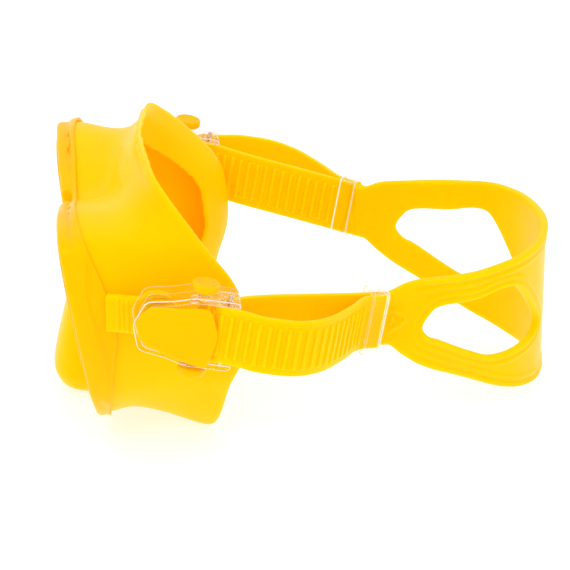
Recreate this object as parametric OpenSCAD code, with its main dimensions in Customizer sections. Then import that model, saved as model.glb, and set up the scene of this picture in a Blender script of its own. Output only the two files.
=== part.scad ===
// Snorkel mask with two windows, swivel buckles and a two-hole silicone strap.
// The front faces -Y, the wearer's left is +X, and the mask stands on z = 0.

/* [Mask body] */
// Overall length, from the nose tip to the back of the strap
mask_length = 214; // [205:1:235]
// Width across the front frame
frame_w = 150; // [140:1:170]
// Height of the face seal above the surface the mask stands on
mask_h = 118; // [110:1:135]
// Wall of the silicone body
wall = 2.2; // [1.6:0.1:3]
// Lean of the windows, top forward
tilt = 9.5; // [6:0.5:12]
// Half width of the nose pocket
nose_half_w = 19; // [16:1:21]
// Width of the face seal's inward rolled edge
seal_w = 17; // [12:1:20]

/* [Windows] */
// Thickness of the front frame
frame_t = 4.5; // [4:0.1:6]
// Thickness of the glass
lens_t = 3.2; // [3:0.1:4]
// Rim of silicone that the glass seats on
lens_seat = 3; // [2:0.5:4]
// Width of the bezel that holds the glass
bezel_w = 4.5; // [3.5:0.5:6]
// How far the bezel stands proud of the frame
bezel_proud = 0.8; // [0.4:0.1:1.2]
// Gap round the glass and bezel
window_gap = 0.15; // [0.1:0.05:0.3]

/* [Buckles] */
// How far the buckle's inner face stands outside the front frame
buckle_out = 6; // [4:1:15]
// Thickness of a buckle, from inner face to cover
buckle_t = 17; // [16.5:0.5:20]
// Distance of the pivot behind the nose tip
pivot_y = 43; // [38:1:48]
// Height of the pivot
pivot_z = 70.4; // [64:0.2:76]
// Diameter of the pivot pin's shank
pivot_d = 6; // [5:0.5:8]
// Running gap round pins and rollers
run_gap = 0.06; // [0.03:0.01:0.1]
// Wall of the buckle housing
buckle_wall = 2.4; // [2:0.1:3]
// Diameter of a button
button_d = 11.4; // [9:0.2:12]
// Travel of a button
button_travel = 1.6; // [1:0.1:2]
// Diameter of the strap roller
roller_d = 8; // [7:0.5:8.5]
// Distance of the roller behind the pivot
roller_y = 28; // [27:0.5:32]

/* [Strap] */
// Width of the strap's tails
strap_w = 24.5; // [20:0.5:28]
// Thickness of the strap, with its ribs
strap_t = 3; // [2.4:0.1:3.4]
// Height of a rib
rib_h = 0.9; // [0.6:0.1:1.2]
// Distance from one rib to the next
rib_pitch = 4; // [3:0.5:6]
// Downward slope of the tails towards the back
strap_slope = 10; // [6:1:14]
// Length of a keeper along the strap
keeper_l = 7; // [5:0.5:9]
// Wall of a keeper
keeper_wall = 1.5; // [1.2:0.1:2]

/* [Hidden] */
$fn = 48;
soft = "#ffc20a";
hard = "#ffb800";
clear = [0.93, 0.95, 0.96, 0.5];

// The body's sections are drawn for this width and height and scaled to the set ones.
drawn_w = 150;
drawn_h = 118;
kx = frame_w / drawn_w;
kz = mask_h / drawn_h;
// Where the window plane meets the ground plane, behind the nose tip
front_foot_y = 19.9;
// Rigid frame: its wall outside the body, and the gap between them
rim = 2.2;
rim_gap = 0.2;
buckle_x = frame_w / 2 + buckle_out;

// ---- curves and shells ----
function mix(a, b, t) = a + (b - a) * t;
function curve(a, b, c, d, t) =
    0.5 * (2 * b + (c - a) * t + (2 * a - 5 * b + 4 * c - d) * t * t + (3 * b - a - 3 * c + d) * t * t * t);
function closed_curve(p, n) = let(m = len(p)) [for (i = [0 : m - 1]) for (j = [0 : n - 1])
    curve(p[(i + m - 1) % m], p[i], p[(i + 1) % m], p[(i + 2) % m], j / n)];
function open_curve(p, n) = let(m = len(p)) concat([for (i = [0 : m - 2]) for (j = [0 : n - 1])
    curve(p[max(0, i - 1)], p[i], p[i + 1], p[min(m - 1, i + 2)], j / n)], [p[m - 1]]);
// A closed outline from its right half, top to bottom; the end points lie on the middle plane.
function both_halves(p) = concat(p, [for (i = [len(p) - 2 : -1 : 1])
    [for (k = [0 : len(p[i]) - 1]) k == 0 ? -p[i][0] : p[i][k]]]);
// Points moved towards the middle of their section and along Y.
mid_z = 56;
function inset(ring, d, dy = 0) = [for (p = ring)
    let(v = [p[0], p[2] - mid_z], u = v / norm(v)) [p[0] - u[0] * d, p[1] + dy, p[2] - u[1] * d]];
// A ribbon of even thickness along a plan path.
function along(p, i) = let(a = p[max(0, i - 1)], b = p[min(len(p) - 1, i + 1)]) (b - a) / norm(b - a);
function side_of(p, d) = [for (i = [0 : len(p) - 1]) let(t = along(p, i)) p[i] + d * [t[1], -t[0]]];
function backwards(p) = [for (i = [len(p) - 1 : -1 : 0]) p[i]];
function ribbon(p, inner, outer) = concat(side_of(p, outer), backwards(side_of(p, inner)));

module shell(rings) {
    n = len(rings[0]);
    m = len(rings);
    polyhedron([for (r = rings) each r], [for (i = [0 : m - 1]) for (j = [0 : n - 1])
        each let(a = i * n + j, b = i * n + (j + 1) % n, c = ((i + 1) % m) * n, d = c + j,
            e = c + (j + 1) % n) [[a, e, b], [a, d, e]]]);
}

module solid(rings) {
    n = len(rings[0]);
    m = len(rings);
    function mid(r) = [for (k = [0 : 2]) [for (p = r) p[k]] * [for (p = r) 1 / n]];
    polyhedron(concat([for (r = rings) each r], [mid(rings[0]), mid(rings[m - 1])]),
        concat([for (i = [0 : m - 2]) for (j = [0 : n - 1])
            each let(a = i * n + j, b = i * n + (j + 1) % n) [[a, b + n, b], [a, a + n, b + n]]],
            [for (j = [0 : n - 1]) [m * n, j, (j + 1) % n]],
            [for (j = [0 : n - 1]) [m * n + 1, (m - 1) * n + (j + 1) % n, (m - 1) * n + j]]));
}

// Corners rounded over a length r along each side.
function unit(v) = v / norm(v);
function rounded(p, r) = let(m = len(p)) [for (i = [0 : m - 1])
    let(c = p[i], a = c + r * unit(p[(i + m - 1) % m] - c), b = c + r * unit(p[(i + 1) % m] - c))
    for (t = [0 : 0.25 : 1]) (1 - t) * (1 - t) * a + 2 * t * (1 - t) * c + t * t * b];
// Distance along a plan path, and the place and direction at a distance.
function travelled(p, i = 0, s = 0) = i == len(p) - 1 ? [s] :
    concat([s], travelled(p, i + 1, s + norm(p[i + 1] - p[i])));
function spot(p, at, s) = [for (k = [0, 1]) lookup(s, [for (i = [0 : len(p) - 1]) [at[i], p[i][k]]])];
function place(p, at, s, d) = let(h = 0.2, t = unit(spot(p, at, s + h) - spot(p, at, s - h)))
    spot(p, at, s) + d * [t[1], -t[0]];

// ---- places ----
module at_frame() translate([0, -mask_length / 2, 0]) children();
module side(s) if (s < 0) mirror([1, 0, 0]) children(); else children();
// The window plane: local X across, Y up the windows, Z out of the front.
module on_front(d = 0)
    translate([0, front_foot_y, 0]) rotate([90 + tilt, 0, 0]) translate([0, 0, d]) children();
function front_point(p, d) =
    [p[0], front_foot_y - p[1] * sin(tilt) - d * cos(tilt), p[1] * cos(tilt) - d * sin(tilt)];
// A buckle: local X outwards, Y back along the strap, Z up across it, from the pivot.
module at_buckle(s)
    at_frame() side(s) translate([buckle_x, pivot_y, pivot_z]) rotate([-strap_slope, 0, 0]) children();

// ---- outlines ----
// One window, as the wearer's left one.
window_points = [[13, 78], [24, 88], [44, 91.5], [61, 88], [67, 76], [67.5, 60], [65, 44], [58, 27],
    [49, 19.5], [38, 20.5], [30, 31], [22, 46], [13, 62]];
window_outline = closed_curve([for (p = window_points) [p[0] * kx, p[1] * kz]], 4);

// Body sections, right half, top to bottom: [x, y, z].
function section(p) = closed_curve(both_halves([for (q = p) [q[0] * kx, q[1], q[2] * kz]]), 4);
body_front = [[0, 86], [24, 93], [48, 97.5], [67, 94], [73, 76], [73, 60], [71, 44], [65, 25], [48, 10.5],
    [24, 9.5], [0, 9.5]];
front_ring = closed_curve(both_halves([for (p = body_front) [p[0] * kx, p[1] * kz]]), 4);
frame_back = section([[0, 12, 87], [24, 12, 96], [48, 12, 101], [67, 15, 95], [72.5, 23, 76], [72.5, 27, 60],
    [70.5, 26, 44], [64.5, 24, 24], [48, 24, 9.6], [24, 24, 9.5], [0, 24, 9.5]]);
waist = section([[0, 26, 92], [24, 27, 97], [46, 29, 99], [63, 32, 93], [69, 37, 75], [69, 40, 60],
    [67.5, 40, 45], [61, 38, 25], [47, 33, 11], [24, 33, 11], [0, 33, 12]]);
flare = section([[0, 36, 108], [26, 37, 107.5], [47.5, 41, 105], [63.5, 51, 94], [69, 59, 76], [70, 62, 60],
    [68.5, 62, 46], [62.5, 57, 27], [47, 46, 8], [24, 42, 9], [0, 41, 11]]);
seal_edge = section([[0, 40, 118], [26, 42, 116.5], [48, 46.5, 112], [65, 63, 92.5], [70, 75, 76],
    [71.5, 78.5, 60], [70.5, 78.5, 44], [64, 73, 27], [47, 66, 1], [24, 54, 6], [0, 48, 11]]);

// Nose pocket sections, bottom to top: [share of the half width, height, front, back].
nose_sections = [[0.36, 0, 11, 35], [0.64, 1.3, 6.2, 39.6], [0.86, 4, 2.8, 43.4], [0.97, 8, 0.7, 45.6],
    [1, 11.5, 0, 46], [0.95, 19, 1.2, 44], [0.84, 30, 3.6, 38], [0.7, 40, 6.2, 32], [0.5, 48, 9.4, 26]];
// The pocket's hollow is lifted off its rounded bottom and kept under the top of its sections.
round_h = 8;
function hollow_lift(z) = z < round_h ? wall * (1 - z / round_h) : z > 2 * mid_z / 3 ? -wall : 0;
function nose_ring(s, d, lift = 0) = let(w = s[0] * nose_half_w - d, f = s[2] + d)
    [for (a = [0 : 15 : 345]) let(r = 1 / pow(pow(abs(cos(a)), 3) + pow(abs(sin(a)), 3), 1 / 3))
        [w * r * cos(a), (f + s[3]) / 2 + (s[3] - f) / 2 * r * sin(a), s[1] * kz + lift]];

// Buckle housing: half width over the strap, and the outline grown by m.
strap_side_gap = 0.6;
strap_room = strap_w / 2 + strap_side_gap;
buckle_half_w = strap_room + buckle_wall;
buckle_end = roller_y + roller_d / 2;
function buckle_outline(m, end) = rounded([[-7.8 - m, 0], [-4.4 - m * 0.8, 9.1 + m * 0.7], [6, 10.5 + m],
    [13, strap_room + m], [end, strap_room + m], [end, -strap_room - m], [13, -strap_room - m],
    [6, -10.5 - m], [-4.4 - m * 0.8, -9.1 - m * 0.7]], 2.5);
cover_outline = rounded([[-9.4, 1], [-5, 9.6], [8, 10], [20, 12], [25, 0], [22.2, -15.2], [10.2, -12.2],
    [-5.2, -7.4]], 4);

// ---- mask body ----
// The front section moved in towards the middle by m, at depth d from the window plane.
function front_section(d, m) = [for (p = front_ring) front_point(p - m * unit(p - [0, mid_z]), d)];

// The plate that the glass seats on stands a step forward of the wall round it.
step = 0.3;
// The height is set exactly, from the flat under the nose to the top of the face seal.
module skirt() color(soft) at_frame() resize([0, 0, mask_h]) difference() {
    union() {
        shell([front_section(-frame_t - step, 0), frame_back, waist, flare, seal_edge,
            inset(seal_edge, seal_w / 2, -1.6), inset(seal_edge, seal_w, -9),
            inset(seal_edge, seal_w, -9 - wall), inset(seal_edge, seal_w / 2, -1.6 - wall),
            inset(seal_edge, wall * 1.3, -wall * 1.3), inset(flare, wall), inset(waist, wall),
            inset(frame_back, wall), front_section(-frame_t - step, wall)]);
        on_front(-frame_t - wall) linear_extrude(wall) offset(delta = -wall / 2) polygon(front_ring);
        difference() {
            solid([for (s = nose_sections) nose_ring(s, 0)]);
            solid([front_section(-frame_t - wall / 2, wall / 2), inset(frame_back, wall / 2),
                inset(waist, wall / 2), inset(flare, wall), inset(seal_edge, wall * 1.3, 10)]);
        }
    }
    solid([for (s = nose_sections) nose_ring([s[0], s[1], s[2], s[3] - wall], wall, hollow_lift(s[1]))]);
    for (s = [-1, 1]) side(s) on_front(-frame_t - wall - 1) linear_extrude(wall + 2)
        offset(delta = -lens_seat) polygon(window_outline);
}

// The rigid frame: a front plate with a wrap-round rim whose temple sides end in a leaf shape.
function rim_ring(ring, d) = inset(ring, -rim_gap - d);
nose_cut = rounded([[-nose_half_w - 4, -30], [-nose_half_w - 4, 16], [-nose_half_w * 0.7 - 2, 44], [-8, 56],
    [8, 56], [nose_half_w * 0.7 + 2, 44], [nose_half_w + 4, 16], [nose_half_w + 4, -30]], 6);
notch_w = 13;
module frame() color(hard) at_frame() difference() {
    union() {
        on_front(-frame_t) linear_extrude(frame_t) offset(delta = rim) polygon(front_ring);
        shell([front_section(-frame_t / 2, -rim_gap - rim), rim_ring(frame_back, rim),
            rim_ring(frame_back, 0), front_section(-frame_t / 2, -rim_gap)]);
    }
    on_front(-40) linear_extrude(60) polygon(nose_cut);
    on_front(-frame_t - 1) linear_extrude(frame_t + 2) for (s = [-1, 1]) side(s)
        offset(delta = window_gap) polygon(window_outline);
    on_front(-frame_t + 0.1) translate([-notch_w / 2, 80 * kz]) cube([notch_w, 30, frame_t + 1]);
}

module lens(s) color([0.8, 0.93, 0.95, 0.35]) at_frame() side(s)
    on_front(-frame_t) linear_extrude(lens_t) polygon(window_outline);

// The bezel presses the glass against the silicone and fills the rest of the opening.
module bezel(s) color(hard) at_frame() side(s)
    on_front(-frame_t + lens_t) linear_extrude(frame_t - lens_t + bezel_proud) difference() {
        polygon(window_outline);
        offset(delta = -bezel_w) polygon(window_outline);
    }

// ---- lug bands ----
lug_t = 3.6;
lug_h = 16.4;
boss_gap = 0.3;
boss_x = -boss_gap - lug_t;
lug_end_x = buckle_x - boss_gap - lug_t / 2;
lug_path = open_curve([[frame_w / 2 + 0.6, pivot_y - 20], [mix(frame_w / 2, lug_end_x, 0.5), pivot_y - 14],
    [lug_end_x, pivot_y - 7], [lug_end_x, pivot_y]], 6);
module lug(s) color(soft) {
    difference() {
        union() {
            at_frame() side(s) translate([0, 0, pivot_z - 2 - lug_h / 2]) linear_extrude(lug_h)
                polygon(ribbon(lug_path, -lug_t / 2, lug_t / 2));
            at_buckle(s) translate([boss_x, 0, 0]) rotate([0, 90, 0]) cylinder(d = lug_h + 1, h = lug_t);
        }
        at_buckle(s) translate([boss_x - 1, 0, 0]) rotate([0, 90, 0]) cylinder(d = pivot_d, h = lug_t + 2);
    }
}

// ---- buckles ----
pin_head_t = 1.8;
pin_head_d = pivot_d + 5;
pin_foot_t = 1.2;
pin_foot_d = pivot_d + 4;
module pivot_pin(s) color("#d8d8d8") at_buckle(s) rotate([0, 90, 0]) {
    translate([0, 0, boss_x]) cylinder(d = pivot_d, h = lug_t + boss_gap * 2 + buckle_wall + pin_head_t);
    translate([0, 0, buckle_wall + boss_gap]) cylinder(d = pin_head_d, h = pin_head_t);
    translate([0, 0, boss_x - pin_foot_t]) cylinder(d = pin_foot_d, h = pin_foot_t);
}

cover_t = 1.8;
body_h = buckle_t - cover_t;
floor_end = roller_y - roller_d / 2 - 5.5;
roller_x = body_h / 2 + 0.9;
roller_pin_d = 2;
stem_d = 4.4;
button_x = roller_x + 0.9;
button_y = roller_y - roller_d / 2 - 7;
button_t = 3.2;
button_under = buckle_half_w + button_travel + 0.2;
stem_end = 4.5;
pawl_x = body_h - 2.3;
pawl_y = button_y - 4;
pawl_pin_d = 2.4;

// The housing: a floor, side walls that end in ears for the roller, and a cavity open to the cover.
module buckle_body(s) color(clear) at_buckle(s) difference() {
    rotate([90, 0, 90]) linear_extrude(body_h) polygon(buckle_outline(buckle_wall, buckle_end));
    translate([buckle_wall, 0, 0]) rotate([90, 0, 90]) linear_extrude(body_h)
        polygon(buckle_outline(0, buckle_end + 20));
    translate([-1, floor_end, -strap_room]) cube([body_h, buckle_end, 2 * strap_room]);
    translate([-1, 0, 0]) rotate([0, 90, 0]) cylinder(d = pivot_d + 2 * run_gap, h = buckle_wall + 2);
    translate([roller_x, roller_y, -buckle_half_w - 1]) cylinder(d = roller_pin_d, h = 2 * buckle_half_w + 2);
    translate([button_x, button_y, -buckle_half_w - 1])
        cylinder(d = stem_d + 2 * run_gap, h = 2 * buckle_half_w + 2);
    translate([pawl_x, pawl_y, -buckle_half_w - 1])
        cylinder(d = pawl_pin_d + 2 * run_gap, h = 2 * buckle_half_w + 2);
}

module buckle_cover(s) color(hard) at_buckle(s) translate([body_h, 0, 0]) rotate([90, 0, 90])
    linear_extrude(cover_t) polygon(cover_outline);

module button(s, up) color(hard)
    at_buckle(s) translate([button_x, button_y, 0]) mirror([0, 0, up > 0 ? 0 : 1]) {
    translate([0, 0, stem_end]) cylinder(d = stem_d, h = button_under - stem_end + 0.2);
    translate([0, 0, button_under]) cylinder(d = button_d, h = button_t);
}

// A compression spring between the two button stems.
spring_turns = 6;
spring_wire = 0.5;
spring_r = 1.6;
module button_spring(s) color("#c8c8c8") at_buckle(s) translate([button_x, button_y, 0])
    solid([for (i = [0 : spring_turns * 12])
        let(a = i * 30, h = 2 * stem_end - 2 * spring_wire, z = -h / 2 + h * i / (spring_turns * 12))
        [for (b = [0 : 60 : 300]) let(r = spring_r + spring_wire * cos(b))
            [r * cos(a), r * sin(a), z + spring_wire * sin(b)]]]);

// The ratchet pawl: a plate that turns about a pin and rests its edge against the strap's ribs.
pawl_w = 2 * strap_room - 1.2;
pawl_t = 1.4;
pawl_reach = floor_end + 3 - pawl_y;
module pawl(s) color("#e6e6e6") at_buckle(s) translate([pawl_x, pawl_y, 0]) {
    translate([0, 0, -buckle_half_w + 0.2]) cylinder(d = pawl_pin_d, h = 2 * buckle_half_w - 0.4);
    translate([0, 0, -pawl_w / 2]) cylinder(d = pawl_pin_d + 0.8, h = pawl_w);
    translate([-pawl_t / 2, 0, -pawl_w / 2]) cube([pawl_t, pawl_reach, pawl_w]);
}

module roller(s) color("#efefef") at_buckle(s) translate([roller_x, roller_y, -strap_w / 2]) difference() {
    cylinder(d = roller_d, h = strap_w);
    translate([0, 0, -1]) cylinder(d = roller_pin_d + 2 * run_gap, h = strap_w + 2);
}

module roller_pin(s) color("#c8c8c8") at_buckle(s) translate([roller_x, roller_y, -buckle_half_w])
    cylinder(d = roller_pin_d, h = 2 * buckle_half_w);

// ---- strap ----
turn_gap = 0.3;
turn_r = roller_d / 2 + turn_gap + strap_t / 2;
keeper_x = -20;
keeper_y = 91;
keeper_turn = 21;
layer_gap = 0.5;
// The tail's plan path in the buckle's own frame: in along the head, round the roller, and back outside.
inner_points = [[-26.5, 104], [-21.6, 91], [-20.4, 88], [-14.8, 73], [-10.2, 60], [-5, 45.5], [-0.6, 36],
    [1.9, 31.5]];
outer_points = [[14.9, 31.5], [16.4, 36], [18.6, 43], [18, 57], [10.5, 69], [-3.5, 79.5], [-13.8, 85.6],
    [-17.8, 90.8], [-20, 96.6]];
tail_path = open_curve(concat(inner_points,
    [for (a = [180 : 30 : 360]) [roller_x + turn_r * cos(a), roller_y + turn_r * sin(a)]], outer_points), 4);
tail_at = travelled(tail_path);
rib_w = rib_pitch * 0.5;
rib_inset = 3;
rib_start = 20;
rib_end = tail_at[len(tail_at) - 1] - 14;
function ribs(a, b) = concat([for (s = [a : rib_pitch : b])
        each let(foot = strap_t / 2 - rib_h, crest = strap_t / 2)
            [for (q = [[s, foot], [s, crest], [s + rib_w, crest], [s + rib_w, foot]])
                place(tail_path, tail_at, q[0], q[1])]],
    backwards([for (s = [a : rib_pitch / 2 : b + rib_w]) place(tail_path, tail_at, s, 0)]));

// The head band: its plan path as shares of the way from the keeper to the middle of the back.
function both_ends(p) = concat(p, [for (i = [len(p) - 2 : -1 : 0]) [-p[i][0], p[i][1]]]);
tail_run = 97.5;
tail_inset = 24.6;
band_start_y = pivot_y + tail_run;
band_start_x = buckle_x - tail_inset;
band_start_z = pivot_z - tail_run * tan(strap_slope);
band_back_y = mask_length - strap_t / 2;
band_top_z = 73.8;
function band_y(share) = mix(band_start_y, band_back_y, share);
band_shares = [[1, 0], [0.963, 0.132], [0.86, 0.396], [0.683, 0.729], [0.496, 0.882], [0.284, 0.9625],
    [0, 1]];
band_path = open_curve(both_ends([for (p = band_shares) [p[0] * band_start_x, band_y(p[1])]]), 4);
// Its outline from the side, and the opening in each side, as [share of the way back, height].
function outlined(p) = [for (q = p) [band_y(q[0]), q[1]]];
band_edge_top = open_curve(outlined([[-0.01, band_start_z + strap_w / 2], [0.13, 68.8], [0.396, 69.8],
    [0.58, 70.8], [0.79, 72.6], [1.03, band_top_z]]), 4);
band_edge_low = open_curve(outlined([[1.03, 4], [0.95, 4.2], [0.84, 6], [0.68, 10.4], [0.55, 15.2],
    [0.396, 21.4], [0.2, 29], [0.08, 35.5], [-0.01, band_start_z - strap_w / 2]]), 4);
band_opening = closed_curve(outlined([[0.2, 47], [0.243, 53], [0.3125, 56.2], [0.52, 57], [0.6875, 59.5],
    [0.785, 56.5], [0.91, 38], [0.896, 30.5], [0.785, 27.5], [0.632, 27], [0.507, 31], [0.3125, 39.5],
    [0.243, 42]]), 3);

module tail() {
    translate([0, 0, -strap_w / 2]) linear_extrude(strap_w)
        polygon(ribbon(tail_path, -strap_t / 2, strap_t / 2 - rib_h));
    translate([0, 0, -strap_w / 2 + rib_inset]) linear_extrude(strap_w - 2 * rib_inset)
        polygon(ribs(rib_start, rib_end));
}

module head_strap() color(soft) {
    for (s = [-1, 1]) at_buckle(s) tail();
    at_frame() intersection() {
        linear_extrude(band_top_z) polygon(ribbon(band_path, -strap_t / 2, strap_t / 2));
        translate([-frame_w / 2, 0, 0]) rotate([90, 0, 90]) linear_extrude(frame_w) difference() {
            polygon(concat(band_edge_top, band_edge_low));
            polygon(band_opening);
        }
    }
}

// A keeper rings both layers of the strap.
keeper_gap = 0.35;
keeper_room = 2 * strap_t + layer_gap + 2 * keeper_gap;
module keeper(s) color(clear) at_buckle(s) translate([keeper_x, keeper_y, 0]) rotate([0, 0, keeper_turn])
    difference() {
        cube([keeper_room + 2 * keeper_wall, keeper_l, strap_w + 2 * (keeper_gap + keeper_wall)],
            center = true);
        cube([keeper_room, keeper_l + 2, strap_w + 2 * keeper_gap], center = true);
    }

skirt();
frame();
lens(1);  // lens_left
lens(-1);  // lens_right
bezel(1);  // bezel_left
bezel(-1);  // bezel_right
lug(1);  // lug_left
lug(-1);  // lug_right
pivot_pin(1);  // pivot_pin_left
pivot_pin(-1);  // pivot_pin_right
buckle_body(1);  // buckle_body_left
buckle_body(-1);  // buckle_body_right
buckle_cover(1);  // buckle_cover_left
buckle_cover(-1);  // buckle_cover_right
button(1, 1);  // button_upper_left
button(-1, 1);  // button_upper_right
button(1, -1);  // button_lower_left
button(-1, -1);  // button_lower_right
button_spring(1);  // button_spring_left
button_spring(-1);  // button_spring_right
pawl(1);  // pawl_left
pawl(-1);  // pawl_right
roller(1);  // roller_left
roller(-1);  // roller_right
roller_pin(1);  // roller_pin_left
roller_pin(-1);  // roller_pin_right
head_strap();
keeper(1);  // keeper_left
keeper(-1);  // keeper_right
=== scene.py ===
"""Looks of a snorkel mask: silicone body, rigid front frame, swivel buckles and a two-hole strap.

Lengths in the shape tables are millimetres, with Y counted back from the nose tip; place() turns
them into the frame's metres.
"""
import math

import bmesh
import bpy
import numpy as np
from mathutils import Matrix, Vector


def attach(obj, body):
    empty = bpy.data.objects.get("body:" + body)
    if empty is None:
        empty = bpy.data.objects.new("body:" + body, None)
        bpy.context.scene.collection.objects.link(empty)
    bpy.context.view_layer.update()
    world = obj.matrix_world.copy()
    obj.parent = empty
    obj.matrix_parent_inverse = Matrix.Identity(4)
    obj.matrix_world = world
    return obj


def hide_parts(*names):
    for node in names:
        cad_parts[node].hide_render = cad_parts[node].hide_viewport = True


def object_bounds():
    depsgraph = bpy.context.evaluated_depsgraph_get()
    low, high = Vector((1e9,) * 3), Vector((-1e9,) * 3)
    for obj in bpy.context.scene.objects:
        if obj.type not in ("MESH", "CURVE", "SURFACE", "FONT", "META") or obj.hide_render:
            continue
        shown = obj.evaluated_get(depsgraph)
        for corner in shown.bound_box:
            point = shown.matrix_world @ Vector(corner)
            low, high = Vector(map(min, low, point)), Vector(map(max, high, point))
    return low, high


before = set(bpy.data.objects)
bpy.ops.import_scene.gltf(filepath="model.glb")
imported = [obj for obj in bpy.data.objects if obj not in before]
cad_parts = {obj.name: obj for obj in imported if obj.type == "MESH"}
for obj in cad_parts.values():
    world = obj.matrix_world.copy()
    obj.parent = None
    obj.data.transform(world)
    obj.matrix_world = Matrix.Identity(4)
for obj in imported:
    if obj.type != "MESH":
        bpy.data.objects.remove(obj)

CAD_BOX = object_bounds()
MM = 0.001
NOSE_Y = CAD_BOX[0][1] / MM
MASK_L = (CAD_BOX[1][1] - CAD_BOX[0][1]) / MM
SIDES = {"left": 1, "right": -1}


# ---- curves ----
def catmull(points, n, closed=False):
    """A smooth curve through the points, n steps to each stretch."""
    p = np.array(points, float)
    m = len(p)
    steps = np.arange(n)[:, None] / n
    out = []
    for i in range(m if closed else m - 1):
        if closed:
            a, b, c, d = p[i - 1], p[i], p[(i + 1) % m], p[(i + 2) % m]
        else:
            a, b, c, d = p[max(0, i - 1)], p[i], p[i + 1], p[min(m - 1, i + 2)]
        t = steps
        out.append(0.5 * (2 * b + (c - a) * t + (2 * a - 5 * b + 4 * c - d) * t ** 2
                          + (3 * b - a - 3 * c + d) * t ** 3))
    if not closed:
        out.append(p[-1:])
    return np.concatenate(out)


def distances(p):
    """Distance travelled along a polyline at each of its points."""
    return np.concatenate([[0], np.cumsum(np.linalg.norm(np.diff(p, axis=0), axis=1))])


def at_distance(p, s):
    """Points of a polyline at the distances s."""
    d = distances(p)
    return np.stack([np.interp(s, d, p[:, k]) for k in range(p.shape[1])], axis=-1)


def smooth(a, b, t):
    u = np.clip((t - a) / (b - a), 0, 1)
    return u * u * (3 - 2 * u)


def mirrored(half):
    """A closed outline from its right half, top to bottom, whose ends lie on the middle plane."""
    half = [list(p) for p in half]
    return half + [[-p[0]] + p[1:] for p in half[-2:0:-1]]


# ---- meshes ----
def place(p):
    """Millimetres, with Y from the nose tip, to the frame's metres."""
    p = np.asarray(p, float)
    return (p + np.array([0, NOSE_Y, 0])) * MM


def make(name, verts, faces, weld=0.0, sharp=40.0):
    """A smooth-shaded mesh object with outward normals and sharp edges above an angle."""
    mesh = bpy.data.meshes.new(name)
    mesh.from_pydata([tuple(v) for v in verts], [], [tuple(int(i) for i in f) for f in faces])
    bm = bmesh.new()
    bm.from_mesh(mesh)
    if weld:
        bmesh.ops.remove_doubles(bm, verts=bm.verts, dist=weld)
    bmesh.ops.recalc_face_normals(bm, faces=bm.faces)
    for f in bm.faces:
        f.smooth = True
    for e in bm.edges:
        e.smooth = not (len(e.link_faces) == 2 and e.calc_face_angle(0) > math.radians(sharp))
    bm.to_mesh(mesh)
    bm.free()
    obj = bpy.data.objects.new(name, mesh)
    bpy.context.collection.objects.link(obj)
    return obj


def grid_faces(rows, cols, wrap=False, start=0):
    """Quads of a rows x cols grid of vertices; wrap joins the last column to the first."""
    faces = []
    for i in range(rows - 1):
        for j in range(cols if wrap else cols - 1):
            k = (j + 1) % cols
            a = start + i * cols
            faces.append((a + j, a + k, a + cols + k, a + cols + j))
    return faces


def boolean(obj, other, what):
    """Cuts other from obj, or joins it, and leaves only the result."""
    m = obj.modifiers.new("cut", "BOOLEAN")
    m.operation = what
    m.solver = "EXACT"
    m.object = other
    bpy.context.view_layer.update()
    mesh = bpy.data.meshes.new_from_object(obj.evaluated_get(bpy.context.evaluated_depsgraph_get()))
    obj.modifiers.clear()
    obj.data = mesh
    bpy.data.objects.remove(other)
    return obj


def tidy(obj, sharp=35.0, weld=0.000005):
    """Smooth shading with sharp edges above an angle, after cuts."""
    bm = bmesh.new()
    bm.from_mesh(obj.data)
    bmesh.ops.remove_doubles(bm, verts=bm.verts, dist=weld)
    bmesh.ops.dissolve_degenerate(bm, edges=bm.edges, dist=weld)
    bmesh.ops.recalc_face_normals(bm, faces=bm.faces)
    for f in bm.faces:
        f.smooth = True
    for e in bm.edges:
        e.smooth = not (len(e.link_faces) == 2 and e.calc_face_angle(0) > math.radians(sharp))
    bm.to_mesh(obj.data)
    bm.free()
    return obj


def join(name, parts):
    """Several meshes as one object."""
    bm = bmesh.new()
    for o in parts:
        part = o.data.copy()
        part.transform(o.matrix_world)
        bm.from_mesh(part)
        bpy.data.objects.remove(o)
    mesh = bpy.data.meshes.new(name)
    bm.to_mesh(mesh)
    bm.free()
    obj = bpy.data.objects.new(name, mesh)
    bpy.context.collection.objects.link(obj)
    return obj


def loft(name, rings, weld=0.0, sharp=40.0):
    """A closed shell through closed rings, the last joined to the first."""
    n = len(rings[0])
    verts = place(np.concatenate(rings + [rings[0]]))
    return make(name, verts, grid_faces(len(rings) + 1, n, True), weld or 1e-6, sharp)


def capped(name, rings):
    """A closed solid through closed rings with flat ends."""
    n = len(rings[0])
    verts = np.concatenate(rings + [rings[0].mean(0)[None], rings[-1].mean(0)[None]])
    faces = grid_faces(len(rings), n, True)
    last = n * (len(rings) - 1)
    for j in range(n):
        faces += [(n * len(rings), (j + 1) % n, j), (n * len(rings) + 1, last + j, last + (j + 1) % n)]
    return make(name, place(verts), faces)


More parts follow.
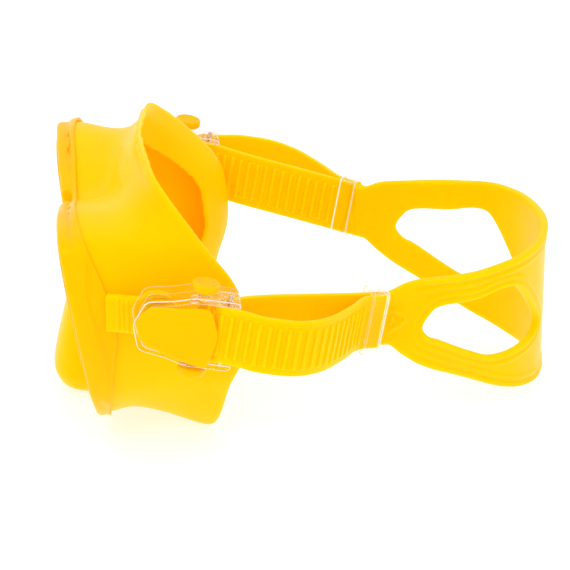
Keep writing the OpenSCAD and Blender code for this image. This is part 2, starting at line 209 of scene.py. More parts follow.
def slab(name, outlines, thickness, bevel, matrix, steps=3):
    """A flat plate with rounded edges, from a closed outline and its holes; matrix places it."""
    curve = bpy.data.curves.new(name, "CURVE")
    curve.dimensions = "2D"
    curve.fill_mode = "BOTH"
    curve.extrude = (thickness / 2 - bevel) * MM
    curve.bevel_depth = bevel * MM
    curve.bevel_resolution = steps
    curve.offset = -bevel * MM
    for outline in outlines:
        s = curve.splines.new("POLY")
        s.points.add(len(outline) - 1)
        s.points.foreach_set("co", np.column_stack([np.array(outline)[:, :2] * MM, np.zeros(len(outline)),
                                                    np.ones(len(outline))]).ravel())
        s.use_cyclic_u = True
    tmp = bpy.data.objects.new(name + "_outline", curve)
    bpy.context.collection.objects.link(tmp)
    bpy.context.view_layer.update()
    mesh = bpy.data.meshes.new_from_object(tmp.evaluated_get(bpy.context.evaluated_depsgraph_get()))
    bpy.data.objects.remove(tmp)
    mesh.transform(matrix)
    obj = bpy.data.objects.new(name, mesh)
    bpy.context.collection.objects.link(obj)
    return tidy(obj, 50)


def turned(name, profile, matrix, n=64):
    """A turned piece: (radius, height) points spun about local Z, placed by matrix."""
    verts, rows = [], len(profile)
    for r, z in profile:
        for j in range(n):
            a = 2 * math.pi * j / n
            verts.append((r * MM * math.cos(a), r * MM * math.sin(a), z * MM))
    obj = make(name, verts, grid_faces(rows, n, True), weld=1e-6, sharp=50)
    obj.data.transform(matrix)
    if matrix.determinant() < 0:
        obj.data.flip_normals()
    return obj


# ---- mask body ----
TILT = math.radians(9.5)
FOOT_Y = 19.9
FRAME_T = 4.5
LENS_T = 3.2
WALL = 2.2
MID_Z = 56
RIM_GAP = 0.3
RIM_T = 2.2
NOSE_W = 19
LENS_SEAT = 3

window_points = [[13, 78], [24, 88], [44, 91.5], [61, 88], [67, 76], [67.5, 60], [65, 44], [58, 27],
                 [49, 19.5], [38, 20.5], [30, 31], [22, 46], [13, 62]]
front_half = [[0, 86], [24, 93], [48, 97.5], [67, 94], [73, 76], [73, 60], [71, 44], [65, 25],
              [48, 10.5], [24, 9.5], [0, 9.5]]
back_half = [[0, 12, 87], [24, 12, 96], [48, 12, 101], [67, 15, 95], [72.5, 23, 76], [72.5, 27, 60],
             [70.5, 26, 44], [64.5, 24, 24], [48, 24, 9.6], [24, 24, 9.5], [0, 24, 9.5]]
waist_half = [[0, 26, 92], [24, 27, 97], [46, 29, 99], [63, 32, 93], [69, 37, 75], [69, 40, 60],
              [67.5, 40, 45], [61, 38, 25], [47, 33, 11], [24, 33, 11], [0, 33, 12]]
flare_half = [[0, 36, 108], [26, 37, 107.5], [47.5, 41, 105], [63.5, 51, 94], [69, 59, 76], [70, 62, 60],
              [68.5, 62, 46], [62.5, 57, 27], [47, 46, 8], [24, 42, 9], [0, 41, 11]]
seal_half = [[0, 40, 118], [26, 42, 116.5], [48, 46.5, 112], [65, 63, 92.5], [70, 75, 76], [71.5, 78.5, 60],
             [70.5, 78.5, 44], [64, 73, 27], [47, 66, 1], [24, 54, 6], [0, 48, 11]]
nose_sections = [[0.36, 0, 11, 35], [0.64, 1.3, 6.2, 39.6], [0.86, 4, 2.8, 43.4], [0.97, 8, 0.7, 45.6],
                 [1, 11.5, 0, 46], [0.95, 19, 1.2, 44], [0.84, 30, 3.6, 38], [0.7, 40, 6.2, 32],
                 [0.5, 48, 9.4, 26]]

window = catmull(window_points, 8, True)


def ring(half):
    return catmull(mirrored(half), 8, True)


def front_ring(depth, grow=0.0):
    """The front outline at a depth from the window plane, grown away from the middle."""
    p = ring(front_half)
    away = p - np.array([0, MID_Z])
    p = p + grow * away / np.linalg.norm(away, axis=1)[:, None]
    return np.column_stack([p[:, 0], FOOT_Y - p[:, 1] * math.sin(TILT) - depth * math.cos(TILT),
                            p[:, 1] * math.cos(TILT) - depth * math.sin(TILT)])


def inset(points, d, dy=0.0):
    """Points moved towards the middle of their section, and along Y."""
    away = points[:, [0, 2]] - np.array([0, MID_Z])
    away /= np.linalg.norm(away, axis=1)[:, None]
    d = np.broadcast_to(d, len(points))
    return points + np.column_stack([-away[:, 0] * d, np.full(len(points), dy), -away[:, 1] * d])


def across(rings, n):
    """More rings between the given ones, along smooth curves."""
    stack = np.array(rings)
    flat = catmull(stack.reshape(len(rings), -1), n)
    return list(flat.reshape(len(flat), -1, 3))


def on_front(depth):
    """Local X across, Y up the windows and Z out of the front, from the window plane."""
    turn = Matrix.Rotation(math.pi / 2 + TILT, 4, "X")
    return (Matrix.Translation((0, (NOSE_Y + FOOT_Y) * MM, 0)) @ turn
            @ Matrix.Translation((0, 0, depth * MM)))


def offset_outline(p, d):
    """A closed outline grown by d along its own normals."""
    p = np.array(p, float)
    t = np.roll(p, -1, 0) - np.roll(p, 1, 0)
    t /= np.linalg.norm(t, axis=1)[:, None]
    turn = np.sum(p[:, 0] * np.roll(p[:, 1], -1) - np.roll(p[:, 0], -1) * p[:, 1])
    return p + math.copysign(d, turn) * np.column_stack([t[:, 1], -t[:, 0]])


def flip(p):
    return np.array(p)[:, :2] * [-1, 1]


def melt(obj, cell, rounds):
    """One closed skin over obj's overlapping solids, with its corners eased."""
    m = obj.modifiers.new("skin", "REMESH")
    m.mode = "VOXEL"
    m.voxel_size = cell * MM
    s = obj.modifiers.new("ease", "SMOOTH")
    s.factor = 0.5
    s.iterations = rounds
    bpy.context.view_layer.update()
    mesh = bpy.data.meshes.new_from_object(obj.evaluated_get(bpy.context.evaluated_depsgraph_get()))
    obj.modifiers.clear()
    obj.data = mesh
    mesh.polygons.foreach_set("use_smooth", [True] * len(mesh.polygons))
    return obj


def copy_of(obj):
    twin = obj.copy()
    twin.data = obj.data.copy()
    bpy.context.collection.objects.link(twin)
    return twin


body_halves = (back_half, waist_half, flare_half, seal_half)
back_ring, waist_ring, flare_ring, seal_ring = (ring(h) for h in body_halves)
outer_rings = across([front_ring(-FRAME_T), back_ring, waist_ring, flare_ring, seal_ring,
                      inset(seal_ring, 8.5, -1.6), inset(seal_ring, 17, -9)], 6)


def nose_rings(shrink):
    rings = []
    for share, z, front, back in catmull(nose_sections, 4):
        a = np.arange(0, 2 * math.pi, math.pi / 24)
        r = 1 / (np.abs(np.cos(a)) ** 3 + np.abs(np.sin(a)) ** 3) ** (1 / 3)
        w, f, b = share * NOSE_W - shrink, front + shrink, back - shrink
        up = shrink * (max(0, 1 - z / 8) if z < 8 else -float(z > 38))
        rings.append(np.column_stack([w * r * np.cos(a), (f + b) / 2 + (b - f) / 2 * r * np.sin(a),
                                      np.full(len(a), z + up)]))
    return rings


def build_skirt():
    inner = [inset(seal_ring, 17, -9 - WALL), inset(seal_ring, 8.5, -1.6 - WALL),
             inset(seal_ring, WALL * 1.3, -WALL * 1.3), inset(flare_ring, WALL), inset(waist_ring, WALL),
             inset(back_ring, WALL), front_ring(-FRAME_T, -WALL)]
    shell = loft("shell", outer_rings + across(inner, 6))
    cavity = capped("cavity", [front_ring(-FRAME_T - WALL / 2, -WALL / 2), inset(back_ring, WALL / 2),
                               inset(waist_ring, WALL / 2), inset(flare_ring, WALL / 2),
                               inset(seal_ring, WALL * 1.3, 10)])
    plate = slab("plate", [offset_outline(ring(front_half), -WALL / 2)] +
                 [offset_outline(w, -LENS_SEAT) for w in (window, flip(window)[::-1])], WALL, 0.2,
                 on_front(-FRAME_T - WALL / 2))
    nose = boolean(capped("nose", nose_rings(0)), cavity, "DIFFERENCE")
    hollow = capped("hollow", nose_rings(WALL))
    parts = [boolean(o, copy_of(hollow), "DIFFERENCE") for o in (shell, plate, nose)]
    bpy.data.objects.remove(hollow)
    return melt(join("skirt_silicone", parts), 0.75, 5)


# ---- front frame ----
def crease(z):
    """Where the temple leaf's hollow begins, as a share of the way back, at each height."""
    return np.interp(z, [20, 34, 45, 60, 72, 82, 92], [1.0, 0.92, 0.62, 0.42, 0.34, 0.5, 1.0])


def build_frame():
    stretch = across([front_ring(-FRAME_T), back_ring, waist_ring], 24)[:25]
    outside, inside = [], []
    for i, r in enumerate(stretch):
        t = i / 24
        temple = smooth(60, 66, np.abs(r[:, 0]))
        raised = 1.0 * (1 - smooth(-0.06, 0.06, t - crease(r[:, 2]))) * temple
        bead = 0.5 * smooth(0.88, 0.97, t) * temple
        outside.append(inset(r, -(RIM_GAP + RIM_T - 0.6 + raised + bead)))
        inside.append(inset(r, -RIM_GAP))
    lead = front_ring(-FRAME_T / 2, RIM_GAP + RIM_T + 0.2)
    shell = loft("rim", [lead] + outside + inside[::-1] + [front_ring(-FRAME_T / 2, RIM_GAP)])
    plate = slab("front_plate", [offset_outline(ring(front_half), RIM_T + 0.4)], FRAME_T, 1.4,
                 on_front(-FRAME_T / 2), 5)
    cut_half = [[-23, -30], [-23, 16], [-15.3, 44], [-8, 56]]
    nose_cut = rounded(cut_half + [[-x, y] for x, y in cut_half[::-1]], 6)
    cuts = [slab("nose_cut", [nose_cut], 60, 0, on_front(-10)),
            slab("notch", [[[-6.5, 80], [6.5, 80], [6.5, 112], [-6.5, 112]]], 6, 0, on_front(-1.4))]
    for outline in (window, flip(window)[::-1]):
        cuts.append(slab("opening", [offset_outline(outline, 0.2)], 12, 0, on_front(-2)))
    body = join("front_frame", [shell, plate])
    whole = melt(body, 0.55, 0)
    for c in cuts:
        whole = boolean(whole, c, "DIFFERENCE")
    return melt(whole, 0.55, 4)


def rounded(p, r, n=5):
    """A closed outline with its corners rounded over a length r along each side."""
    p = np.array(p, float)
    out = []
    for i in range(len(p)):
        c = p[i]
        u, v = p[i - 1] - c, p[(i + 1) % len(p)] - c
        a, b = c + r * u / np.linalg.norm(u), c + r * v / np.linalg.norm(v)
        for t in np.linspace(0, 1, n):
            out.append((1 - t) ** 2 * a + 2 * t * (1 - t) * c + t * t * b)
    return np.array(out)


def build_window(side):
    outline = window if SIDES[side] > 0 else flip(window)[::-1]
    lens = slab("glass_" + side, [outline], LENS_T, 0.25, on_front(-FRAME_T + LENS_T / 2))
    ring_t = FRAME_T - LENS_T + 0.8
    bezel = slab("window_ring_" + side, [outline, offset_outline(outline, -4.5)[::-1]], ring_t, 0.5,
                 on_front(-FRAME_T + LENS_T + ring_t / 2))
    return lens, bezel


# ---- buckles ----
BUCKLE_X = 81
PIVOT = (43, 70.4)
SLOPE = math.radians(10)
BUCKLE_WALL = 2.4
BODY_H = 15.2
COVER_T = 1.8
ROOM = 12.85
BUCKLE_END = 32
FLOOR_END = 18.5
BUTTON = (9.4, 17.0)
BUTTON_R = 5.7
STEM_R = 2.2
PAWL = (12.9, 13.0)
PAWL_PIN_R = 1.2
RUN_GAP = 0.06
BUTTON_UNDER = 17.05
STRAP_T = 3.0
STRAP_W = 24.5


def at_buckle(side):
    """Local X outwards, Y back along the strap and Z up across it, from the pivot."""
    pivot = (BUCKLE_X * MM, (NOSE_Y + PIVOT[0]) * MM, PIVOT[1] * MM)
    return (Matrix.Scale(SIDES[side], 4, (1, 0, 0)) @ Matrix.Translation(pivot)
            @ Matrix.Rotation(-SLOPE, 4, "X"))


def flat_on_buckle(side, x):
    """A plate's plane: its own X along the strap, Y across it and Z outwards."""
    return at_buckle(side) @ Matrix(((0, 0, 1, x * MM), (1, 0, 0, 0), (0, 1, 0, 0), (0, 0, 0, 1)))


def to_buckle(points, side):
    m = np.array(at_buckle(side))
    return np.asarray(points) * MM @ m[:3, :3].T + m[:3, 3]


def housing_outline(m, end):
    half = [[-7.8 - m, 0], [-4.4 - m * 0.8, 9.1 + m * 0.7], [6, 10.5 + m], [13, ROOM + m], [end, ROOM + m]]
    return rounded(half + [[y, -z] for y, z in half[:0:-1]], 2.5)


cover_outline = rounded([[-9.4, 1], [-5, 9.6], [8, 10], [20, 12], [25, 0], [22.2, -15.2], [10.2, -12.2],
                         [-5.2, -7.4]], 4, 8)


def bevelled(obj, width, steps=3, angle=35):
    """Rounds obj's hard edges and marks the new faces as its second surface, which clear pieces show as a
    painted bright edge highlight.
    """
    bm = bmesh.new()
    bm.from_mesh(obj.data)
    bmesh.ops.remove_doubles(bm, verts=bm.verts, dist=0.02 * MM)
    bmesh.ops.dissolve_limit(bm, angle_limit=math.radians(3), verts=bm.verts, edges=bm.edges)
    bm.to_mesh(obj.data)
    bm.free()
    for k in range(2):
        obj.data.materials.append(None)
    m = obj.modifiers.new("edge", "BEVEL")
    m.width = width * MM
    m.segments = steps
    m.limit_method = "ANGLE"
    m.angle_limit = math.radians(angle)
    m.material = 1
    m.use_clamp_overlap = False
    m.harden_normals = True
    bpy.context.view_layer.update()
    mesh = bpy.data.meshes.new_from_object(obj.evaluated_get(bpy.context.evaluated_depsgraph_get()))
    obj.modifiers.clear()
    obj.data = mesh
    return obj


def build_housing(side):
    body = slab("housing_" + side, [housing_outline(BUCKLE_WALL, BUCKLE_END)], BODY_H, 0,
                flat_on_buckle(side, BODY_H / 2))
    cavity = slab("cavity", [housing_outline(0, BUCKLE_END + 20)], BODY_H, 0,
                  flat_on_buckle(side, BUCKLE_WALL + BODY_H / 2))
    mouth_outline = [[FLOOR_END, -ROOM], [60, -ROOM], [60, ROOM], [FLOOR_END, ROOM]]
    mouth = slab("mouth", [mouth_outline], 40, 0, flat_on_buckle(side, 0))
    bores = [turned("bore", [(0, -20), (r, -20), (r, 20), (0, 20)],
                    at_buckle(side) @ Matrix.Translation((x * MM, y * MM, 0)), 32)
             for x, y, r in ((*BUTTON, STEM_R + RUN_GAP), (*PAWL, PAWL_PIN_R + RUN_GAP))]
    for cut in [cavity, mouth] + bores:
        body = boolean(body, cut, "DIFFERENCE")
    body.data.materials.clear()
    body.data.polygons.foreach_set("material_index", [0] * len(body.data.polygons))
    return bevelled(tidy(body), 0.32, 2)


def build_cover(side):
    return slab("cover_plate_" + side, [cover_outline], COVER_T, 0.7,
                flat_on_buckle(side, BODY_H + COVER_T / 2), 5)


def build_button(side, up):
    r, t = BUTTON_R, 3.2
    profile = [(0, -0.4), (STEM_R, -0.4), (STEM_R, 0), (r - 0.3, 0), (r, 0.3), (r, t - 0.7),
               (r - 0.2, t - 0.25), (r - 0.7, t)]
    for k in range(4):
        q = r - 1.4 - k * 1.15
        profile += [(q + 0.28, t), (q + 0.1, t - 0.35), (q - 0.25, t - 0.35), (q - 0.45, t)]
    profile += [(0.3, t), (0, t)]
    place_at = (at_buckle(side) @ Matrix.Translation((BUTTON[0] * MM, BUTTON[1] * MM, 0))
                @ Matrix.Scale(up, 4, (0, 0, 1)))
    head = turned("button_head_%s_%s" % ("upper" if up > 0 else "lower", side), profile,
                  place_at @ Matrix.Translation((0, 0, BUTTON_UNDER * MM)))
    stem = turned("stem", [(0, 4.5), (1.8, 4.5), (2.2, 4.9), (2.2, 17.2), (0, 17.2)], place_at, 32)
    name = head.name
    return join(name, [head, stem])


def band_solid(name, path, low, high, half_z, mid_z, side, corner=0.8, local=True):
    """A rounded strip along a plan path, between two offsets from it."""
    d = distances(path)
    tangent = np.gradient(path, d, axis=0)
    tangent /= np.linalg.norm(tangent, axis=1)[:, None]
    normal = np.column_stack([tangent[:, 1], -tangent[:, 0]])
    section = rounded([[low, -half_z], [high, -half_z], [high, half_z], [low, half_z]], corner)
    rings = [np.column_stack([p + section[:, :1] * n, mid_z + section[:, 1]]) for p, n in zip(path, normal)]
    obj = capped(name, rings)
    ends = [r.mean(0)[None] for r in (rings[0], rings[-1])]
    for v, p in zip(obj.data.vertices, np.concatenate(rings + ends)):
        v.co = Vector(to_buckle(p, side)) if local else Vector(place(p * [SIDES[side], 1, 1]))
    return obj


def build_lug(side):
    path = catmull([[75.6, 23], [76.95, 29], [78.9, 36], [78.9, 43]], 8)
    strip = band_solid("strip", path, -1.8, 1.8, 8.2, PIVOT[1] - 2, side, 1.2, False)
    boss_at = Matrix.Translation((-3.9 * MM, 0, 0)) @ Matrix.Rotation(math.pi / 2, 4, "Y")
    boss = turned("boss", [(0, 0), (7.9, 0), (8.7, 0.8), (8.7, 2.8), (7.9, 3.6), (0, 3.6)],
                  at_buckle(side) @ boss_at)
    creases = [band_solid("crease", at_distance(path, np.linspace(s, s + 0.9, 4)), 1.5, 2.3, 7.4,
                          PIVOT[1] - 2, side, 0.3, False) for s in (4.5, 6.6, 8.7)]
    return melt(join("hinge_band_" + side, [strip, boss] + creases), 0.35, 3)


# ---- keepers ----
def build_keeper(side):
    spin = math.radians(21)
    turn = np.array([[math.cos(spin), -math.sin(spin)], [math.sin(spin), math.cos(spin)]])
    outer = rounded([[-5.1, -14.1], [5.1, -14.1], [5.1, 14.1], [-5.1, 14.1]], 2.2, 6)
    inner = rounded([[-3.6, -12.6], [3.6, -12.6], [3.6, 12.6], [-3.6, 12.6]], 1.2, 6)
    rows = [(inner, 0, 3.2), (inner, 0, -3.2), (inner, 0.3, -3.5), (outer, -0.4, -3.5), (outer, 0, -3.1),
            (outer, 0, 3.1), (outer, -0.4, 3.5), (inner, 0.3, 3.5)]
    out = []
    for outline, grow, y in rows:
        o = offset_outline(outline, grow)
        xy = np.column_stack([o[:, 0], np.full(len(o), y)]) @ turn.T + [-20, 91]
        out.append(to_buckle(np.column_stack([xy, o[:, 1]]), side))
    n = len(out[0])
    faces = grid_faces(len(out) + 1, n, True)
    obj = make("keeper_loop_" + side, np.concatenate(out + [out[0]]), faces, 1e-6, 30)
    # Every other band round the keeper, its four rounded corners, gets the painted edge highlight.
    for face in obj.data.polygons:
        face.material_index = (face.index // n) % 2
    return obj


# ---- strap ----
RIB_H = 0.9
RIB_PITCH = 4.0
RIB_W = 2.0
ROLLER = (8.5, 28.0)
TURN_R = 5.8
tail_points = ([[-26.5, 104], [-21.6, 91], [-20.4, 88], [-14.8, 73], [-10.2, 60], [-5, 45.5], [-0.6, 36],
                [1.9, 31.5]]
               + [[ROLLER[0] + TURN_R * math.cos(a), ROLLER[1] + TURN_R * math.sin(a)]
                  for a in map(math.radians, range(180, 361, 30))]
               + [[14.9, 31.5], [16.4, 36], [18.6, 43], [18, 57], [10.5, 69], [-3.5, 79.5], [-13.8, 85.6],
                  [-17.8, 90.8], [-20, 96.6]])
tail_path = catmull(tail_points, 8)


def tail_frame(s):
    p = at_distance(tail_path, s)
    t = at_distance(tail_path, s + 0.3) - at_distance(tail_path, s - 0.3)
    t /= np.linalg.norm(t, axis=-1, keepdims=True)
    return p, np.stack([t[..., 1], -t[..., 0]], -1)


def build_tail(side, start):
    """The ribbed part of a tail, from a distance along its path to its end."""
    length = distances(tail_path)[-1]
    steps = [0, 0.13, 0.27, 0.4, 1.0, 1.6, 1.73, 1.87, 2.0, 3.0]
    first, last = 20, length - 14
    s = [v for v in np.arange(start, first, 1.0)]
    for s0 in np.arange(first, last, RIB_PITCH):
        s += [s0 + u for u in steps]
    s = np.array(s + list(np.arange(s[-1] + 1, length, 0.5)) + [length - 0.15, length])
    half = STRAP_W / 2
    low, high = -STRAP_T / 2, STRAP_T / 2 - RIB_H
    corners = rounded([[low, -half], [high, -half], [high, half], [low, half]], 0.7)
    across_face = (6, 8.6, 8.8, 9, 9.2, 9.4, 10)
    face = np.array([[high, z] for z in [-v for v in across_face[::-1]] + [0, *across_face]])
    k = int(np.argmax(np.diff(corners[:, 1])))
    section = np.concatenate([corners[:k + 1], face, corners[k + 1:]])
    on_face = np.isclose(section[:, 0], high) & (np.abs(section[:, 1]) < 10.1)
    rings = []
    for v in s:
        u = (v - first) % RIB_PITCH
        up = RIB_H * smooth(0, 0.4, u) * (1 - smooth(1.6, 2.0, u)) * (first <= v < last + RIB_W)
        d = section[:, 0] + up * on_face * (1 - smooth(8.6, 9.4, np.abs(section[:, 1])))
        shrink = 1 - 0.06 * (v > length - 0.2)
        p, n = tail_frame(np.full(len(d), v))
        rings.append(np.column_stack([p + n * d[:, None], section[:, 1] * shrink]))
    return strip_solid("tail_" + side, rings, side)


def strip_solid(name, rings, side):
    obj = capped(name, rings)
    ends = [r.mean(0)[None] for r in (rings[0], rings[-1])]
    for v, p in zip(obj.data.vertices, to_buckle(np.concatenate(rings + ends), side)):
        v.co = Vector(p)
    return obj


RIDGE = 0.85
# The soft band leans outwards towards its top edge, by this share of its half width.
LEAN = 0.12
BAND_START = (56.4, 140.5, 53.2)
BAND_END_Y = MASK_L - STRAP_T / 2
band_shares = [[1.027, -0.052], [1, 0], [0.963, 0.132], [0.86, 0.396], [0.683, 0.729], [0.496, 0.882],
               [0.284, 0.9625], [0, 1]]
top_edge = [[-0.06, 66.1], [0, 65.5], [0.13, 68.8], [0.396, 69.8], [0.58, 70.8], [0.79, 72.6], [1.03, 73.8]]
low_edge = [[-0.06, 41.7], [0, 40.9], [0.08, 35.5], [0.2, 29], [0.396, 21.4], [0.55, 15.2], [0.68, 10.4],
            [0.84, 6], [0.95, 4.2], [1.03, 4]]
opening = [[0.2, 47], [0.243, 53], [0.3125, 56.2], [0.52, 57], [0.6875, 59.5], [0.785, 56.5], [0.91, 38],
           [0.896, 30.5], [0.785, 27.5], [0.632, 27], [0.507, 31], [0.3125, 39.5], [0.243, 42]]


def band_y(share):
    return BAND_START[1] + (BAND_END_Y - BAND_START[1]) * np.asarray(share)


half_path = [[x * BAND_START[0], band_y(y)] for x, y in band_shares]
band_path = catmull(half_path + [[-x, y] for x, y in half_path[-2::-1]], 16)
band_at = distances(band_path)
band_at = band_at - band_at[-1] / 2
half_len = band_at[-1]


def edge_height(edge, y):
    e = catmull(edge, 8)
    return np.interp((y - BAND_START[1]) / (BAND_END_Y - BAND_START[1]), e[:, 0], e[:, 1])


def flat_length(y):
    """Distance from the middle of the back at which the band is y back, on one side."""
    n = len(band_path) // 2
    return np.interp(y, band_path[:n + 1, 1], -band_at[:n + 1])


def far_from(points, outline):
    """Distance of flat points from a closed outline."""
    a = np.asarray(outline)
    b = np.roll(a, -1, 0)
    best = np.full(len(points), 1e9)
    for p, q in zip(a, b):
        v = q - p
        t = np.clip(((points - p) @ v) / max(1e-9, v @ v), 0, 1)
        best = np.minimum(best, np.linalg.norm(points - (p + t[:, None] * v), axis=1))
    return best


def ridge(distance, at, width):
    """A rounded ridge along the line where distance is at."""
    return np.exp(-(np.abs(distance - at) / width) ** 3)


def build_band():
    s = np.linspace(-half_len, half_len, 181)
    y = at_distance(band_path, s + half_len)[:, 1]
    outline = np.concatenate([np.column_stack([s, edge_height(low_edge, y)]),
                              np.column_stack([s, edge_height(top_edge, y)])[::-1]])
    hole = catmull(opening, 8, True)
    holes = [np.column_stack([sign * flat_length(band_y(hole[:, 0])), hole[:, 1]])[::sign]
             for sign in (1, -1)]
    flat = melt(slab("band", [outline] + holes, STRAP_T, 1.2, Matrix.Identity(4), 4), 0.5, 2)
    co = np.empty(len(flat.data.vertices) * 3)
    flat.data.vertices.foreach_get("co", co)
    p = co.reshape(-1, 3) / MM
    q = p[:, :2]
    edge = far_from(q, outline)
    hole_d = np.minimum(far_from(q, holes[0]), far_from(q, holes[1]))
    side = smooth(0.4, 1.3, p[:, 2])
    near = np.minimum(edge, hole_d)
    s_in = half_len - np.abs(q[:, 0])
    body = smooth(12, 20, s_in)
    relief = RIDGE * (ridge(edge, 1.2, 1.2) + ridge(hole_d, 1.2, 1.2)) * body
    relief += 0.65 * RIDGE * ridge(edge, 5.0, 0.9) * body
    relief += 0.8 * RIDGE * ridge(hole_d, 4.6, 0.9) * body
    for reach, half_w, wide in ((7.0, 6.0, 0.9), (13.0, 10.5, 1.0)):
        for sign in (1, -1):
            tri = [[sign * (half_len + 6), 53.4 - half_w], [sign * (half_len + 6), 53.4 + half_w],
                   [sign * (half_len - reach), 52.6]]
            relief += RIDGE * ridge(far_from(q, rounded(tri, 5, 7)), 0, wide) * (1 - smooth(15, 19, s_in))
    mould = 0.3 * np.exp(-((np.abs(q[:, 0]) - half_len * 0.42) / 0.35) ** 2) * smooth(-0.6, -1.3, p[:, 2])
    relief *= smooth(3.0, 4.5, s_in)
    d = p[:, 2] + relief * side + mould
    at = q[:, 0] + half_len
    c = at_distance(band_path, at)
    t = at_distance(band_path, at + 0.4) - at_distance(band_path, at - 0.4)
    t /= np.linalg.norm(t, axis=1)[:, None]
    out = np.column_stack([-t[:, 1], t[:, 0]])
    out *= np.sign(out[:, 1:2] + 1e-9)
    flat_pts = np.column_stack([c + out * d[:, None], q[:, 1]])
    share = (flat_pts[:, 1] - BAND_START[1]) / (BAND_END_Y - BAND_START[1])
    flat_pts[:, 0] *= 1 + LEAN * smooth(0.15, 0.55, share) * (q[:, 1] - 38) / 38
    pts = place(flat_pts)
    flat.data.vertices.foreach_set("co", pts.ravel())
    flat.data.update()
    return flat


def build_strap():
    seam = 13.5
    parts = [build_band()]
    for side in SIDES:
        stub = at_distance(tail_path, np.arange(0, seam + 0.5, 0.5))
        parts.append(band_solid("stub", stub, -1.5, 0.6, STRAP_W / 2, 0, side))
    body = melt(join("head_strap_silicone", parts), 0.55, 1)
    return tidy(join("head_strap_silicone", [body] + [build_tail(side, seam - 0.5) for side in SIDES]), 50)


# ---- materials ----
def input_of(shader, name, value):
    shader.inputs[name].default_value = value


def material(name, light, dark, scale, rough, spread=0.06, bump=0.0, bump_scale=900, **constants):
    """A principled surface whose colour, roughness and relief come from noise in the object's own space."""
    mat = bpy.data.materials.new(name)
    mat.use_nodes = True
    nodes, links = mat.node_tree.nodes, mat.node_tree.links
    shader = nodes["Principled BSDF"]
    where = nodes.new("ShaderNodeTexCoord")
    tone = nodes.new("ShaderNodeTexNoise")
    tone.inputs["Scale"].default_value = scale
    tone.inputs["Detail"].default_value = 3
    ramp = nodes.new("ShaderNodeValToRGB")
    ramp.color_ramp.elements[0].position = 0.3
    ramp.color_ramp.elements[1].position = 0.7
    ramp.color_ramp.elements[0].color = (*dark, 1)
    ramp.color_ramp.elements[1].color = (*light, 1)
    grain = nodes.new("ShaderNodeTexNoise")
    grain.inputs["Scale"].default_value = bump_scale
    grain.inputs["Detail"].default_value = 2
    finish = nodes.new("ShaderNodeMapRange")
    finish.inputs["To Min"].default_value = rough - spread
    finish.inputs["To Max"].default_value = rough + spread
    links.new(where.outputs["Object"], tone.inputs["Vector"])
    links.new(where.outputs["Object"], grain.inputs["Vector"])
    links.new(tone.outputs["Fac"], ramp.inputs["Fac"])
    links.new(ramp.outputs["Color"], shader.inputs["Base Color"])
    links.new(tone.outputs["Fac"], finish.inputs["Value"])
    links.new(finish.outputs["Result"], shader.inputs["Roughness"])
    if bump:
        relief = nodes.new("ShaderNodeBump")
        relief.inputs["Strength"].default_value = bump
        relief.inputs["Distance"].default_value = 0.0002
        links.new(grain.outputs["Fac"], relief.inputs["Height"])
        links.new(relief.outputs["Normal"], shader.inputs["Normal"])
    for key, value in constants.items():
        input_of(shader, key.replace("_", " "), value)
    return mat


YELLOW_SHEEN = (1.0, 0.72, 0.04, 1)
# Painted glow: the silicone and strap give off a faint yellow light of their own, which lifts their shaded
# sides. The subsurface settings beside it are the silicone's real translucency.
PAINTED_GLOW_YELLOW = (1.0, 0.5, 0.0, 1)
TRANSLUCENT_WITH_PAINTED_GLOW = dict(Emission_Color=PAINTED_GLOW_YELLOW, Emission_Strength=0.15, Subsurface_Weight=0.6,
                 Subsurface_Scale=0.006, Subsurface_Radius=(1.0, 0.8, 0.05), Specular_Tint=YELLOW_SHEEN)
silicone = material("silicone_yellow", (0.98, 0.56, 0.0004), (0.97, 0.51, 0.0002), 14, 0.36, bump=0.1,
                    Specular_IOR_Level=0.12, **TRANSLUCENT_WITH_PAINTED_GLOW)
strap_rubber = material("strap_yellow", (0.98, 0.555, 0.0004), (0.97, 0.51, 0.0002), 18, 0.34, bump=0.1,
                        Specular_IOR_Level=0.14, **TRANSLUCENT_WITH_PAINTED_GLOW)
# The frame plastic also carries the painted yellow glow (emission), which lifts its shade.
plastic = material("frame_yellow", (0.9, 0.5, 0.0005), (0.87, 0.46, 0.0002), 20, 0.32, bump=0.08,
                   Specular_IOR_Level=0.25, Specular_Tint=YELLOW_SHEEN, Emission_Color=PAINTED_GLOW_YELLOW,
                   Emission_Strength=0.12, Subsurface_Weight=0.3, Subsurface_Scale=0.003,
                   Subsurface_Radius=(1.0, 0.5, 0.05))
glass = material("glass", (0.93, 0.99, 0.98), (0.9, 0.97, 0.96), 12, 0.03, 0.02, Transmission_Weight=1.0,
                 IOR=1.5)
clear = material("clear_plastic", (1.0, 1.0, 1.0), (0.97, 0.98, 0.985), 30, 0.06, 0.03,
                 Transmission_Weight=1.0, IOR=1.25, Alpha=0.2)
# Painted highlight: a pale, half-opaque, faintly glowing surface on the bevels and corners of the clear
# plastic, standing in for the bright reflections along its edges.
painted_edge_highlight = material("clear_plastic_painted_highlight", (0.95, 0.95, 0.95), (0.85, 0.86, 0.88), 260, 0.15, 0.05,
                      Alpha=0.65, Emission_Color=(1, 1, 1, 1), Emission_Strength=0.12)
steel = material("steel", (0.82, 0.83, 0.84), (0.7, 0.71, 0.72), 300, 0.28, 0.08, bump=0.1, bump_scale=2500,
                 Metallic=1.0)
SURFACES = {"silicone": silicone, "strap_silicone": strap_rubber, "frame_plastic": plastic,
            "clear_plastic": clear, "glass": glass, "steel": steel}


def show(obj, body, slot, *nodes):
    """Gives a piece its surface, its body and the CAD nodes it stands for."""
    kinds = [f.material_index for f in obj.data.polygons]
    obj.data.materials.clear()
    obj.data.materials.append(SURFACES[slot])
    # Clear plastic gets a second surface, the painted edge highlight, on the faces marked for it.
    if slot == "clear_plastic":
        obj.data.materials.append(painted_edge_highlight)
        obj.data.polygons.foreach_set("material_index", kinds)
    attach(obj, body)
    if nodes:
        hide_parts(*nodes)


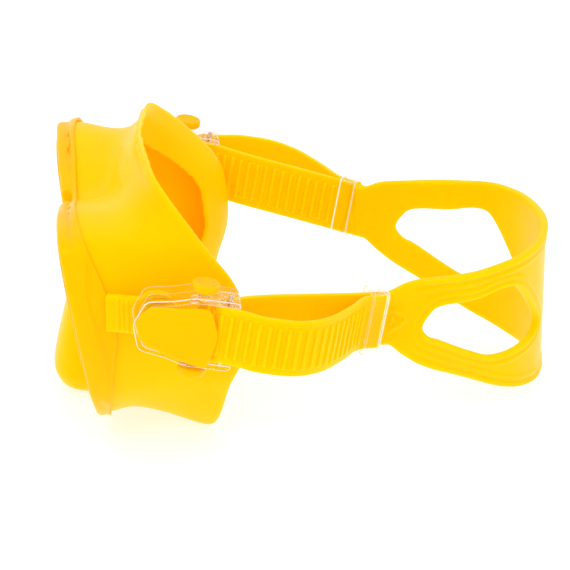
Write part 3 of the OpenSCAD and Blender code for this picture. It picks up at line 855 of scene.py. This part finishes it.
show(build_skirt(), "mask", "silicone", "skirt")
show(build_frame(), "mask", "frame_plastic", "frame")
show(build_strap(), "strap", "strap_silicone", "head_strap")
for side in SIDES:
    lens, bezel = build_window(side)
    show(lens, "mask", "glass", "lens_" + side)
    show(bezel, "mask", "frame_plastic", "bezel_" + side)
    show(build_lug(side), "mask", "silicone", "lug_" + side)
    show(build_housing(side), "strap", "clear_plastic", "buckle_body_" + side)
    show(build_cover(side), "strap", "frame_plastic", "buckle_cover_" + side)
    for up, level in ((1, "upper"), (-1, "lower")):
        node = "button_%s_%s" % (level, side)
        show(build_button(side, up), node, "frame_plastic", node)
    show(build_keeper(side), "keeper_" + side, "clear_plastic", "keeper_" + side)

for kind, surface in (("pivot_pin", clear), ("button_spring", steel), ("roller_pin", steel),
                      ("roller", clear), ("pawl", clear)):
    for side in SIDES:
        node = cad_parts[kind + "_" + side]
        node.data.materials.clear()
        node.data.materials.append(surface)

# ---- setting ----
FLOOR_SIZE = 6.0
FLOOR_DROP = 0.0004
floor_corners = ((-1, -1), (1, -1), (1, 1), (-1, 1))
floor = make("floor", [(x * FLOOR_SIZE, y * FLOOR_SIZE, -FLOOR_DROP) for x, y in floor_corners],
             [(0, 1, 2, 3)])
floor.data.materials.append(material("floor_white", (0.56, 0.56, 0.56), (0.54, 0.54, 0.54), 3, 0.6, 0.05,
                                     Specular_IOR_Level=0.1, Emission_Color=(1, 1, 1, 1),
                                     Emission_Strength=0.62))

world = bpy.data.worlds.new("studio")
bpy.context.scene.world = world
world.use_nodes = True
world.node_tree.nodes["Background"].inputs["Color"].default_value = (1.0, 1.0, 1.0, 1)
world.node_tree.nodes["Background"].inputs["Strength"].default_value = 0.82

AIM = Vector((0, -0.006, 0.0439))


def lamp(name, place_at, size, power):
    data = bpy.data.lights.new(name, "AREA")
    data.shape = "RECTANGLE"
    data.size, data.size_y = size
    data.energy = power
    obj = bpy.data.objects.new(name, data)
    bpy.context.collection.objects.link(obj)
    obj.location = place_at
    obj.rotation_euler = (AIM - Vector(place_at)).to_track_quat("-Z", "Y").to_euler()


lamp("key", (0.75, -0.55, 1.05), (0.4, 0.4), 3.4)
lamp("fill", (0.9, 0.9, 0.8), (0.9, 0.6), 1.7)
lamp("top", (-0.2, 0.0, 1.3), (0.9, 0.9), 2.4)

CAMERA_AT = Vector((1.18007, -0.08852, 0.5830))
camera_data = bpy.data.cameras.new("camera")
camera_data.lens = 188.8
camera_data.sensor_width = 36
camera = bpy.data.objects.new("camera", camera_data)
bpy.context.collection.objects.link(camera)
camera.location = CAMERA_AT
camera.rotation_euler = (AIM - CAMERA_AT).to_track_quat("-Z", "Y").to_euler()
bpy.context.scene.camera = camera
bpy.context.scene.view_settings.view_transform = "Standard"
